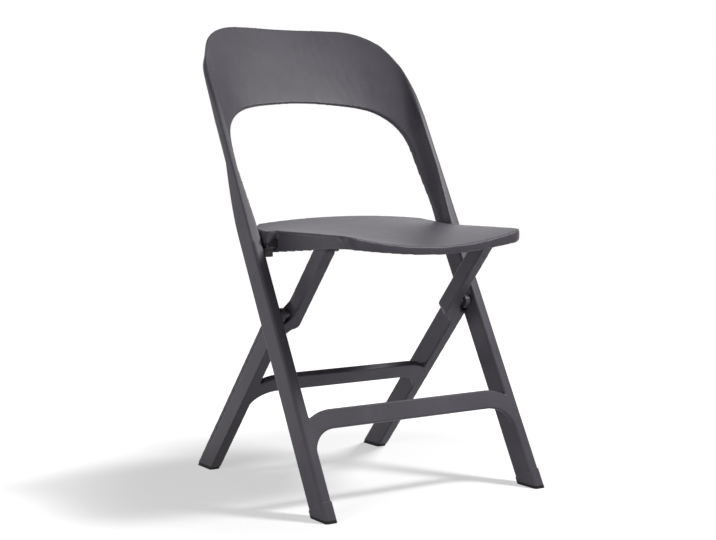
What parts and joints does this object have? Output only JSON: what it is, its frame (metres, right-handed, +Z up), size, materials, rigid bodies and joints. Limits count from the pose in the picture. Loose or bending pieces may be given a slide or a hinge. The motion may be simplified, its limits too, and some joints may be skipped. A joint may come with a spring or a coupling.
{
  "type": "folding chair",
  "caption": "Folding outdoor chair with crossing leg frames, an arched open back and a dished seat that tips up as the rear leg frame folds against the back.",
  "frame": {"origin": "centre of the bounding box on the floor", "axes": "+Z up, -Y towards the front of the chair, +X to the right of someone facing the chair"},
  "size_m": [0.4396, 0.5346, 0.8234],
  "materials": {
    "frame": "matte moulded plastic, dark grey",
    "foot": "matte black",
    "bearing": "smooth black nylon",
    "steel": "plain steel"
  },
  "bodies": {
    "back": {"back_frame": "frame", "front_foot_left": "foot", "front_foot_right": "foot", "leg_pivot_pin_left": "steel", "leg_pivot_pin_right": "steel", "leg_pivot_washer_left": "frame", "leg_pivot_washer_right": "frame", "hinge_pin_left": "steel", "hinge_pin_right": "steel", "hinge_washer_left": "bearing", "hinge_washer_right": "bearing"},
    "rear_legs": {"rear_leg_frame": "frame", "rear_foot_left": "foot", "rear_foot_right": "foot", "leg_pivot_bush_left": "bearing", "leg_pivot_bush_right": "bearing", "slide_pin_left": "steel", "slide_pin_right": "steel", "slide_shoe_left": "bearing", "slide_shoe_right": "bearing"},
    "seat": {"seat": "frame", "hinge_screws": "steel", "hinge_block_left": "bearing", "hinge_block_right": "bearing"}
  },
  "joints": [
    {"name": "rear_leg_fold", "type": "hinge", "parent": "back", "child": "rear_legs", "pos_m": [0, -0.06605, 0.31117], "axis": [-1, 0, 0], "range_deg": [0, 71.5]},
    {"name": "seat_fold", "type": "hinge", "parent": "back", "child": "seat", "pos_m": [0, -0.01067, 0.412], "axis": [-1, 0, 0], "range_deg": [0, 115]}
  ],
  "couplings": [
    {"joint": "seat_fold", "follows": "rear_leg_fold", "ratio": 1.6084}
  ]
}
